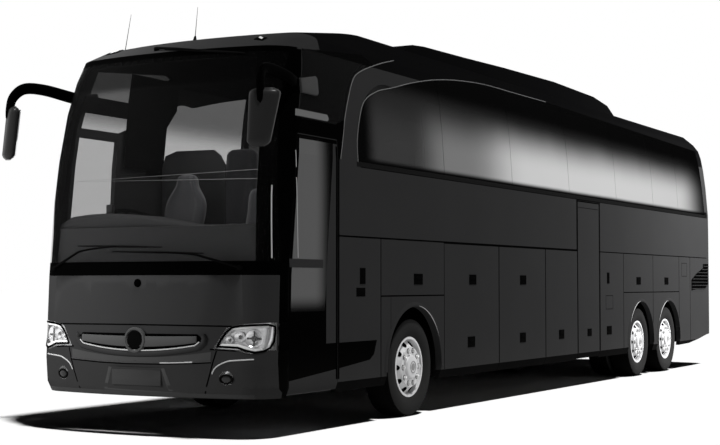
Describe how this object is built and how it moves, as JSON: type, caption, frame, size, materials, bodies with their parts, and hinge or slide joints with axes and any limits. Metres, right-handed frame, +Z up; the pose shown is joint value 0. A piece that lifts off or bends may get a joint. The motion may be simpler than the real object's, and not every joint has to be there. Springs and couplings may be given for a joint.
{
  "type": "three-axle high-deck touring coach",
  "caption": "Touring coach with a high deck, steered front axle, swinging passenger doors, lifting luggage flaps and free-rolling wheels.",
  "frame": {"origin": "on the ground under the middle of the overall box", "axes": "+X forward, +Y to the coach's left, +Z up"},
  "size_m": [14.1797, 2.9806, 3.9614],
  "materials": {
    "axle_iron": "painted casting",
    "body_paint": "charcoal black, satin",
    "chassis": "chassis black",
    "dark_trim": "moulded, fine grain",
    "dash": "soft grained",
    "engine": "casting",
    "floor": "ribbed covering",
    "gloss_trim": "gloss",
    "grille": "dark bright trim",
    "lamp": "clear cover over bright reflectors",
    "rubber": "matte",
    "screen_glass": "lightly tinted",
    "seat_fabric": "dark woven",
    "tail_lamp": "red lens",
    "tinted_glass": "tinted",
    "tyre": "matte black",
    "wheel_silver": "machined"
  },
  "bodies": {
    "coach": {"aerials": "dark_trim", "air_springs": "rubber", "dashboard": "dash", "deck": "floor", "drive_axle": "axle_iron", "driver_seat": "seat_fabric", "engine": "engine", "front_axle": "axle_iron", "front_bumper": "body_paint", "front_lamps": "lamp", "front_mask": "body_paint", "grille": "grille", "mirrors": "gloss_trim", "passenger_seats": "seat_fabric", "rear_bumper": "body_paint", "rear_glass": "tinted_glass", "rear_wall": "body_paint", "roof": "body_paint", "roof_pod": "gloss_trim", "side_glazing": "tinted_glass", "side_left": "body_paint", "side_right": "body_paint", "tag_axle": "axle_iron", "tail_lamps": "tail_lamp", "underframe": "chassis", "wheel_housings": "dark_trim", "windscreen": "screen_glass", "wipers": "dark_trim"},
    "front_wheel_left": {"wheel_front_left": "wheel_silver", "tyre_front_left": "tyre"},
    "drive_wheel_left": {"wheel_drive_left": "wheel_silver", "tyre_drive_left": "tyre"},
    "tag_wheel_left": {"wheel_tag_left": "wheel_silver", "tyre_tag_left": "tyre"},
    "steering_left": {"knuckle_left": "axle_iron"},
    "luggage_flap_left_1": {"flap_left_1": "body_paint"},
    "luggage_flap_left_2": {"flap_left_2": "body_paint"},
    "luggage_flap_left_3": {"flap_left_3": "body_paint"},
    "front_wheel_right": {"wheel_front_right": "wheel_silver", "tyre_front_right": "tyre"},
    "drive_wheel_right": {"wheel_drive_right": "wheel_silver", "tyre_drive_right": "tyre"},
    "tag_wheel_right": {"wheel_tag_right": "wheel_silver", "tyre_tag_right": "tyre"},
    "steering_right": {"knuckle_right": "axle_iron"},
    "luggage_flap_right_1": {"flap_right_1": "body_paint"},
    "luggage_flap_right_2": {"flap_right_2": "body_paint"},
    "luggage_flap_right_3": {"flap_right_3": "body_paint"},
    "steering_wheel": {"steering_wheel": "dash"},
    "front_door_arm": {"front_door_arm": "chassis"},
    "front_door": {"front_door": "gloss_trim", "front_door_glass": "tinted_glass"},
    "middle_door_arm": {"middle_door_arm": "chassis"},
    "middle_door": {"middle_door": "body_paint"},
    "engine_lid": {"engine_lid": "body_paint"}
  },
  "joints": [
    {"name": "steer_left", "type": "hinge", "parent": "coach", "child": "steering_left", "pos_m": [4.043, 0.9, 0.49], "axis": [0, 0, 1], "range_deg": [-40, 40]},
    {"name": "steer_right", "type": "hinge", "parent": "coach", "child": "steering_right", "pos_m": [4.043, -0.9, 0.49], "axis": [0, 0, 1], "range_deg": [-40, 40]},
    {"name": "front_left_roll", "type": "hinge", "parent": "steering_left", "child": "front_wheel_left", "pos_m": [4.043, 1.0875, 0.49], "axis": [0, 1, 0], "continuous": true},
    {"name": "drive_left_roll", "type": "hinge", "parent": "coach", "child": "drive_wheel_left", "pos_m": [-3.244, 1.0875, 0.49], "axis": [0, 1, 0], "continuous": true},
    {"name": "tag_left_roll", "type": "hinge", "parent": "coach", "child": "tag_wheel_left", "pos_m": [-4.594, 1.0875, 0.49], "axis": [0, 1, 0], "continuous": true},
    {"name": "front_right_roll", "type": "hinge", "parent": "steering_right", "child": "front_wheel_right", "pos_m": [4.043, -1.0875, 0.49], "axis": [0, 1, 0], "continuous": true},
    {"name": "drive_right_roll", "type": "hinge", "parent": "coach", "child": "drive_wheel_right", "pos_m": [-3.244, -1.0875, 0.49], "axis": [0, 1, 0], "continuous": true},
    {"name": "tag_right_roll", "type": "hinge", "parent": "coach", "child": "tag_wheel_right", "pos_m": [-4.594, -1.0875, 0.49], "axis": [0, 1, 0], "continuous": true},
    {"name": "steering_wheel_turn", "type": "hinge", "parent": "coach", "child": "steering_wheel", "pos_m": [6.08, -0.62, 1.9], "axis": [-0.4226, 0, 0.9063], "range_deg": [-640, 640]},
    {"name": "front_door_swing", "type": "hinge", "parent": "coach", "child": "front_door_arm", "pos_m": [6.18, 1.085, 1.5], "axis": [0, 0, -1], "range_deg": [0, 100]},
    {"name": "front_door_hang", "type": "hinge", "parent": "front_door_arm", "child": "front_door", "pos_m": [5.73, 1.15, 1.5], "axis": [0, 0, -1], "range_deg": [-100, 0]},
    {"name": "middle_door_swing", "type": "hinge", "parent": "coach", "child": "middle_door_arm", "pos_m": [-1.314, 1.085, 1.5], "axis": [0, 0, 1], "range_deg": [0, 100]},
    {"name": "middle_door_hang", "type": "hinge", "parent": "middle_door_arm", "child": "middle_door", "pos_m": [-0.864, 1.15, 1.5], "axis": [0, 0, 1], "range_deg": [-100, 0]},
    {"name": "flap_left_1_lift", "type": "hinge", "parent": "coach", "child": "luggage_flap_left_1", "pos_m": [2.64, 1.275, 1.7425], "axis": [1, 0, 0], "range_deg": [0, 85]},
    {"name": "flap_left_2_lift", "type": "hinge", "parent": "coach", "child": "luggage_flap_left_2", "pos_m": [1.2055, 1.275, 1.7425], "axis": [1, 0, 0], "range_deg": [0, 85]},
    {"name": "flap_left_3_lift", "type": "hinge", "parent": "coach", "child": "luggage_flap_left_3", "pos_m": [-0.0635, 1.275, 1.7425], "axis": [1, 0, 0], "range_deg": [0, 85]},
    {"name": "flap_right_1_lift", "type": "hinge", "parent": "coach", "child": "luggage_flap_right_1", "pos_m": [2.64, -1.275, 1.7425], "axis": [-1, 0, 0], "range_deg": [0, 85]},
    {"name": "flap_right_2_lift", "type": "hinge", "parent": "coach", "child": "luggage_flap_right_2", "pos_m": [1.2055, -1.275, 1.7425], "axis": [-1, 0, 0], "range_deg": [0, 85]},
    {"name": "flap_right_3_lift", "type": "hinge", "parent": "coach", "child": "luggage_flap_right_3", "pos_m": [-0.0635, -1.275, 1.7425], "axis": [-1, 0, 0], "range_deg": [0, 85]},
    {"name": "engine_lid_lift", "type": "hinge", "parent": "coach", "child": "engine_lid", "pos_m": [-7.09, 0, 1.8965], "axis": [0, 1, 0], "range_deg": [0, 80]}
  ],
  "couplings": [
    {"joint": "steer_right", "follows": "steer_left", "ratio": 1},
    {"joint": "steering_wheel_turn", "follows": "steer_left", "ratio": 16},
    {"joint": "front_door_hang", "follows": "front_door_swing", "ratio": -1},
    {"joint": "middle_door_hang", "follows": "middle_door_swing", "ratio": -1}
  ]
}
